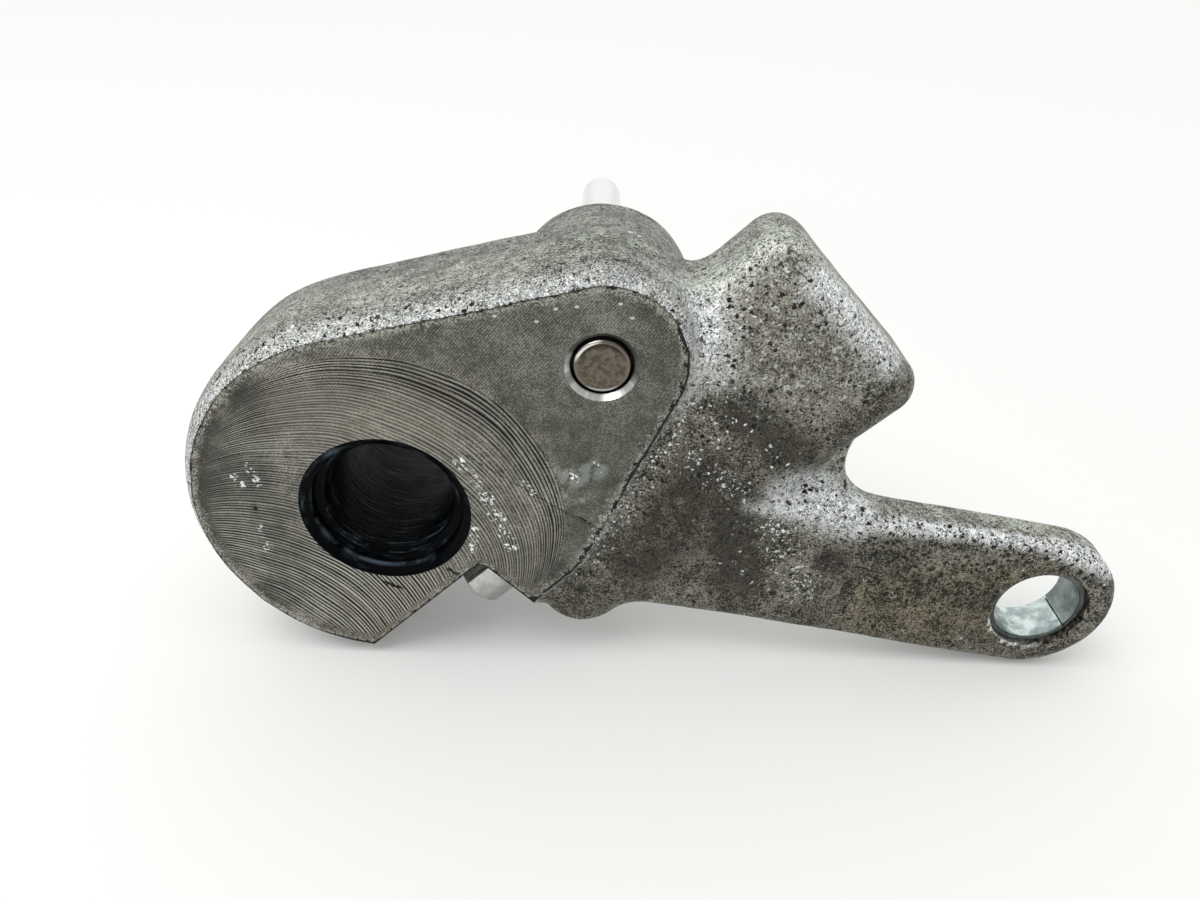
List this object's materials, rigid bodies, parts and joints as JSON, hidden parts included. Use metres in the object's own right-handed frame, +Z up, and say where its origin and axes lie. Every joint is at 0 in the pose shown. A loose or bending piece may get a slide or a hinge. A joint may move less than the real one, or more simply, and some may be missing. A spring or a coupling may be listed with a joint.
{
  "type": "belt tensioner",
  "caption": "Cast lever with a lined pivot bore, a long dowel for the roller, a spring plunger in a slanting barrel and an arm that ends in a bushed eye.",
  "frame": {"origin": "on the axis of the pivot bore, halfway along it", "axes": "the pivot bore runs along Y, the machined face looks along -Y, +X points from the pivot towards the eye, +Z is up in the picture"},
  "size_m": [0.1509, 0.0804, 0.0764],
  "materials": {
    "casting": "as cast, one face milled",
    "bush": "dark, glossy",
    "zinc_bush": "zinc plated",
    "pin": "ground",
    "plunger": "polished",
    "steel": "machined",
    "bronze": "machined",
    "seal": "matt",
    "spring_steel": "drawn wire"
  },
  "bodies": {
    "lever": {"lever_casting": "casting", "pivot_bush": "bush", "eye_bush": "zinc_bush", "roller_pin": "pin", "rod_guide": "bronze", "rod_seal": "seal", "retaining_ring": "spring_steel", "plunger_spring": "spring_steel"},
    "plunger_train": {"plunger": "plunger", "piston": "steel", "check_ball": "steel", "ball_cage": "steel"}
  },
  "joints": [
    {"name": "plunger_slide", "type": "slide", "parent": "lever", "child": "plunger_train", "axis": [0.7314, 0, 0.682], "range_m": [0, 0.009], "stiffness_N_per_m": 10000, "springref_m": -0.006, "deforming": ["plunger_spring"]}
  ]
}
